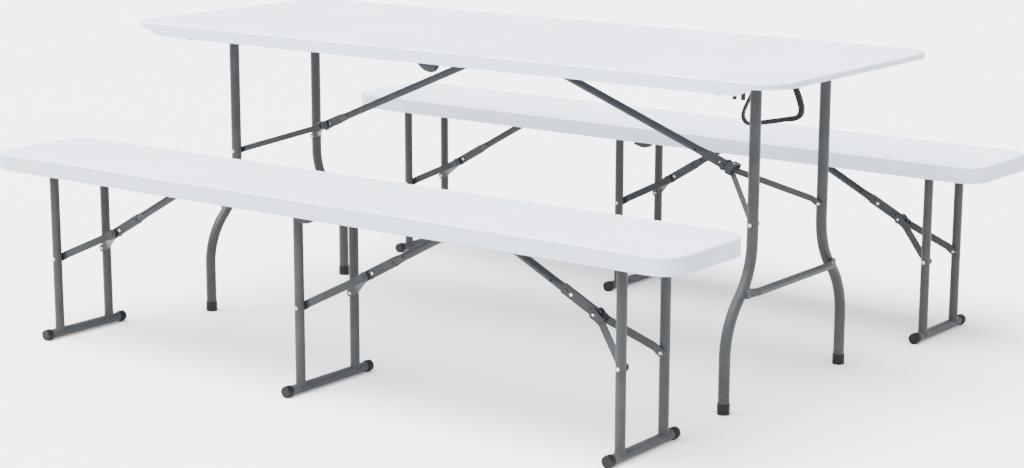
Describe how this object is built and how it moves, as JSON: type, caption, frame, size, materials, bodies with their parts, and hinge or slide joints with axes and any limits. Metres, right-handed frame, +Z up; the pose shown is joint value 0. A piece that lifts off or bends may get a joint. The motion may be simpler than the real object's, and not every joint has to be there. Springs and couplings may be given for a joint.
{
  "type": "folding picnic table with benches",
  "caption": "Folding picnic table with a hinged white plastic top on tubular steel legs, and free-standing folding plank benches along both long sides.",
  "frame": {"origin": "on the floor, in the middle of the whole set's footprint", "axes": "+X along the table's length, +Z up, +Y towards the bench behind the carry handle"},
  "size_m": [1.9748, 1.553, 0.729],
  "materials": {
    "white_hdpe": "fine moulded grain, satin",
    "grey_steel": "powder coat",
    "black_plastic": "satin",
    "zinc_steel": "zinc plated"
  },
  "bodies": {
    "table_left": {"table_top_left": "white_hdpe", "table_rails_left": "grey_steel", "table_screws_left": "zinc_steel", "table_hinge_pins": "zinc_steel"},
    "table_right": {"table_top_right": "white_hdpe", "table_rails_right": "grey_steel", "table_screws_right": "zinc_steel", "table_handle_clips": "black_plastic"},
    "table_left_leg": {"table_left_leg_frame": "grey_steel", "table_left_leg_plastics": "black_plastic", "table_left_leg_bolts": "zinc_steel"},
    "table_left_brace": {"table_left_brace_bar": "grey_steel", "table_left_brace_studs": "zinc_steel"},
    "table_left_yoke": {"table_left_yoke": "grey_steel"},
    "table_left_lock": {"table_left_lock_ring": "grey_steel"},
    "table_right_leg": {"table_right_leg_frame": "grey_steel", "table_right_leg_plastics": "black_plastic", "table_right_leg_bolts": "zinc_steel"},
    "table_right_brace": {"table_right_brace_bar": "grey_steel", "table_right_brace_studs": "zinc_steel"},
    "table_right_yoke": {"table_right_yoke": "grey_steel"},
    "table_right_lock": {"table_right_lock_ring": "grey_steel"},
    "carry_handle": {"table_carry_handle": "black_plastic"},
    "front_bench": {"front_bench_seat": "white_hdpe", "front_bench_rails": "grey_steel", "front_bench_screws": "zinc_steel"},
    "front_bench_left_leg": {"front_bench_left_leg_frame": "grey_steel", "front_bench_left_leg_plastics": "black_plastic", "front_bench_left_leg_bolts": "zinc_steel"},
    "front_bench_left_brace": {"front_bench_left_brace_bar": "grey_steel"},
    "front_bench_left_yoke": {"front_bench_left_yoke": "grey_steel"},
    "front_bench_middle_leg": {"front_bench_middle_leg_frame": "grey_steel", "front_bench_middle_leg_plastics": "black_plastic", "front_bench_middle_leg_bolts": "zinc_steel"},
    "front_bench_middle_brace": {"front_bench_middle_brace_bar": "grey_steel"},
    "front_bench_middle_yoke": {"front_bench_middle_yoke": "grey_steel"},
    "front_bench_right_leg": {"front_bench_right_leg_frame": "grey_steel", "front_bench_right_leg_plastics": "black_plastic", "front_bench_right_leg_bolts": "zinc_steel"},
    "front_bench_right_brace": {"front_bench_right_brace_bar": "grey_steel"},
    "front_bench_right_yoke": {"front_bench_right_yoke": "grey_steel"},
    "rear_bench": {"rear_bench_seat": "white_hdpe", "rear_bench_rails": "grey_steel", "rear_bench_screws": "zinc_steel"},
    "rear_bench_left_leg": {"rear_bench_left_leg_frame": "grey_steel", "rear_bench_left_leg_plastics": "black_plastic", "rear_bench_left_leg_bolts": "zinc_steel"},
    "rear_bench_left_brace": {"rear_bench_left_brace_bar": "grey_steel"},
    "rear_bench_left_yoke": {"rear_bench_left_yoke": "grey_steel"},
    "rear_bench_middle_leg": {"rear_bench_middle_leg_frame": "grey_steel", "rear_bench_middle_leg_plastics": "black_plastic", "rear_bench_middle_leg_bolts": "zinc_steel"},
    "rear_bench_middle_brace": {"rear_bench_middle_brace_bar": "grey_steel"},
    "rear_bench_middle_yoke": {"rear_bench_middle_yoke": "grey_steel"},
    "rear_bench_right_leg": {"rear_bench_right_leg_frame": "grey_steel", "rear_bench_right_leg_plastics": "black_plastic", "rear_bench_right_leg_bolts": "zinc_steel"},
    "rear_bench_right_brace": {"rear_bench_right_brace_bar": "grey_steel"},
    "rear_bench_right_yoke": {"rear_bench_right_yoke": "grey_steel"}
  },
  "joints": [
    {"name": "table_fold", "type": "hinge", "parent": "table_left", "child": "table_right", "pos_m": [0.0156, -0.0475, 0.699], "axis": [0, 1, 0], "range_deg": [0, 90]},
    {"name": "table_left_leg_fold", "type": "hinge", "parent": "table_left", "child": "table_left_leg", "pos_m": [-0.7354, -0.0475, 0.7], "axis": [0, -1, 0], "range_deg": [0, 90]},
    {"name": "table_left_brace_turn", "type": "hinge", "parent": "table_left", "child": "table_left_brace", "pos_m": [-0.0049, -0.0475, 0.696], "axis": [0, -1, 0], "range_deg": [-23.74, 0]},
    {"name": "table_left_elbow", "type": "hinge", "parent": "table_left_brace", "child": "table_left_yoke", "pos_m": [-0.56431, -0.0475, 0.45855], "axis": [0, -1, 0], "range_deg": [0, 182.78]},
    {"name": "table_left_lock_slide", "type": "slide", "parent": "table_left_brace", "child": "table_left_lock", "axis": [0.9205, 0, 0.3907], "range_m": [0, 0.08]},
    {"name": "table_right_leg_fold", "type": "hinge", "parent": "table_right", "child": "table_right_leg", "pos_m": [0.7666, -0.0475, 0.7], "axis": [0, 1, 0], "range_deg": [0, 90]},
    {"name": "table_right_brace_turn", "type": "hinge", "parent": "table_right", "child": "table_right_brace", "pos_m": [0.0361, -0.0475, 0.696], "axis": [0, 1, 0], "range_deg": [-21.14, 0]},
    {"name": "table_right_elbow", "type": "hinge", "parent": "table_right_brace", "child": "table_right_yoke", "pos_m": [0.6064, -0.0475, 0.4839], "axis": [0, 1, 0], "range_deg": [0, 171.53]},
    {"name": "table_right_lock_slide", "type": "slide", "parent": "table_right_brace", "child": "table_right_lock", "axis": [-0.9373, 0, 0.3486], "range_m": [0, 0.08]},
    {"name": "handle_swing", "type": "hinge", "parent": "table_right", "child": "carry_handle", "pos_m": [0.5326, 0.2905, 0.69], "axis": [1, 0, 0], "range_deg": [-45, 90]},
    {"name": "front_bench_move", "type": "slide", "parent": "table_left", "child": "front_bench", "axis": [0, -1, 0], "range_m": [-0.1, 0.3]},
    {"name": "front_bench_left_leg_fold", "type": "hinge", "parent": "front_bench", "child": "front_bench_left_leg", "pos_m": [-0.8404, -0.6315, 0.409], "axis": [0, -1, 0], "range_deg": [0, 86.5]},
    {"name": "front_bench_left_brace_turn", "type": "hinge", "parent": "front_bench", "child": "front_bench_left_brace", "pos_m": [-0.4564, -0.6315, 0.408], "axis": [0, -1, 0], "range_deg": [-25.78, 0]},
    {"name": "front_bench_left_elbow", "type": "hinge", "parent": "front_bench_left_brace", "child": "front_bench_left_yoke", "pos_m": [-0.72098, -0.6315, 0.25709], "axis": [0, -1, 0], "range_deg": [0, 181.93]},
    {"name": "front_bench_middle_leg_fold", "type": "hinge", "parent": "front_bench", "child": "front_bench_middle_leg", "pos_m": [-0.0554, -0.6315, 0.409], "axis": [0, -1, 0], "range_deg": [0, 86.5]},
    {"name": "front_bench_middle_brace_turn", "type": "hinge", "parent": "front_bench", "child": "front_bench_middle_brace", "pos_m": [0.3286, -0.6315, 0.408], "axis": [0, -1, 0], "range_deg": [-24.48, 0]},
    {"name": "front_bench_middle_elbow", "type": "hinge", "parent": "front_bench_middle_brace", "child": "front_bench_middle_yoke", "pos_m": [0.06064, -0.6315, 0.26312], "axis": [0, -1, 0], "range_deg": [0, 177.7]},
    {"name": "front_bench_right_leg_fold", "type": "hinge", "parent": "front_bench", "child": "front_bench_right_leg", "pos_m": [0.7766, -0.6315, 0.409], "axis": [0, 1, 0], "range_deg": [0, 86.5]},
    {"name": "front_bench_right_brace_turn", "type": "hinge", "parent": "front_bench", "child": "front_bench_right_brace", "pos_m": [0.3926, -0.6315, 0.408], "axis": [0, 1, 0], "range_deg": [-22.78, 0]},
    {"name": "front_bench_right_elbow", "type": "hinge", "parent": "front_bench_right_brace", "child": "front_bench_right_yoke", "pos_m": [0.66511, -0.6315, 0.27094], "axis": [0, 1, 0], "range_deg": [0, 172.18]},
    {"name": "rear_bench_move", "type": "slide", "parent": "table_left", "child": "rear_bench", "axis": [0.0227, 0.9997, 0], "range_m": [-0.1, 0.3]},
    {"name": "rear_bench_left_leg_fold", "type": "hinge", "parent": "rear_bench", "child": "rear_bench_left_leg", "pos_m": [-0.78719, 0.62944, 0.409], "axis": [-0.0227, -0.9997, 0], "range_deg": [0, 86.5]},
    {"name": "rear_bench_left_brace_turn", "type": "hinge", "parent": "rear_bench", "child": "rear_bench_left_brace", "pos_m": [-0.40329, 0.62073, 0.408], "axis": [-0.0227, -0.9997, 0], "range_deg": [-25.78, 0]},
    {"name": "rear_bench_left_elbow", "type": "hinge", "parent": "rear_bench_left_brace", "child": "rear_bench_left_yoke", "pos_m": [-0.6678, 0.62673, 0.25709], "axis": [-0.0227, -0.9997, 0], "range_deg": [0, 181.93]},
    {"name": "rear_bench_middle_leg_fold", "type": "hinge", "parent": "rear_bench", "child": "rear_bench_middle_leg", "pos_m": [-0.05438, 0.61281, 0.409], "axis": [-0.0227, -0.9997, 0], "range_deg": [0, 86.5]},
    {"name": "rear_bench_middle_brace_turn", "type": "hinge", "parent": "rear_bench", "child": "rear_bench_middle_brace", "pos_m": [0.23554, 0.60623, 0.408], "axis": [-0.0227, -0.9997, 0], "range_deg": [-26.6, 0]},
    {"name": "rear_bench_middle_elbow", "type": "hinge", "parent": "rear_bench_middle_brace", "child": "rear_bench_middle_yoke", "pos_m": [0.04288, 0.6106, 0.2899], "axis": [-0.0227, -0.9997, 0], "range_deg": [0, 180.18]},
    {"name": "rear_bench_right_leg_fold", "type": "hinge", "parent": "rear_bench", "child": "rear_bench_right_leg", "pos_m": [0.82939, 0.59276, 0.409], "axis": [0.0227, 0.9997, 0], "range_deg": [0, 86.5]},
    {"name": "rear_bench_right_brace_turn", "type": "hinge", "parent": "rear_bench", "child": "rear_bench_right_brace", "pos_m": [0.44549, 0.60147, 0.408], "axis": [0.0227, 0.9997, 0], "range_deg": [-22.78, 0]},
    {"name": "rear_bench_right_elbow", "type": "hinge", "parent": "rear_bench_right_brace", "child": "rear_bench_right_yoke", "pos_m": [0.71793, 0.59528, 0.27094], "axis": [0.0227, 0.9997, 0], "range_deg": [0, 172.18]}
  ],
  "couplings": [
    {"joint": "table_left_brace_turn", "follows": "table_left_leg_fold", "ratio": -0.26155},
    {"joint": "table_left_elbow", "follows": "table_left_leg_fold", "ratio": 2.0275},
    {"joint": "table_right_brace_turn", "follows": "table_right_leg_fold", "ratio": -0.23266},
    {"joint": "table_right_elbow", "follows": "table_right_leg_fold", "ratio": 1.9026},
    {"joint": "front_bench_left_brace_turn", "follows": "front_bench_left_leg_fold", "ratio": -0.29571},
    {"joint": "front_bench_left_elbow", "follows": "front_bench_left_leg_fold", "ratio": 2.0998},
    {"joint": "front_bench_middle_brace_turn", "follows": "front_bench_middle_leg_fold", "ratio": -0.28068},
    {"joint": "front_bench_middle_elbow", "follows": "front_bench_middle_leg_fold", "ratio": 2.0509},
    {"joint": "front_bench_right_brace_turn", "follows": "front_bench_right_leg_fold", "ratio": -0.26103},
    {"joint": "front_bench_right_elbow", "follows": "front_bench_right_leg_fold", "ratio": 1.9871},
    {"joint": "rear_bench_left_brace_turn", "follows": "rear_bench_left_leg_fold", "ratio": -0.29571},
    {"joint": "rear_bench_left_elbow", "follows": "rear_bench_left_leg_fold", "ratio": 2.0998},
    {"joint": "rear_bench_middle_brace_turn", "follows": "rear_bench_middle_leg_fold", "ratio": -0.30525},
    {"joint": "rear_bench_middle_elbow", "follows": "rear_bench_middle_leg_fold", "ratio": 2.0795},
    {"joint": "rear_bench_right_brace_turn", "follows": "rear_bench_right_leg_fold", "ratio": -0.26103},
    {"joint": "rear_bench_right_elbow", "follows": "rear_bench_right_leg_fold", "ratio": 1.9871}
  ]
}
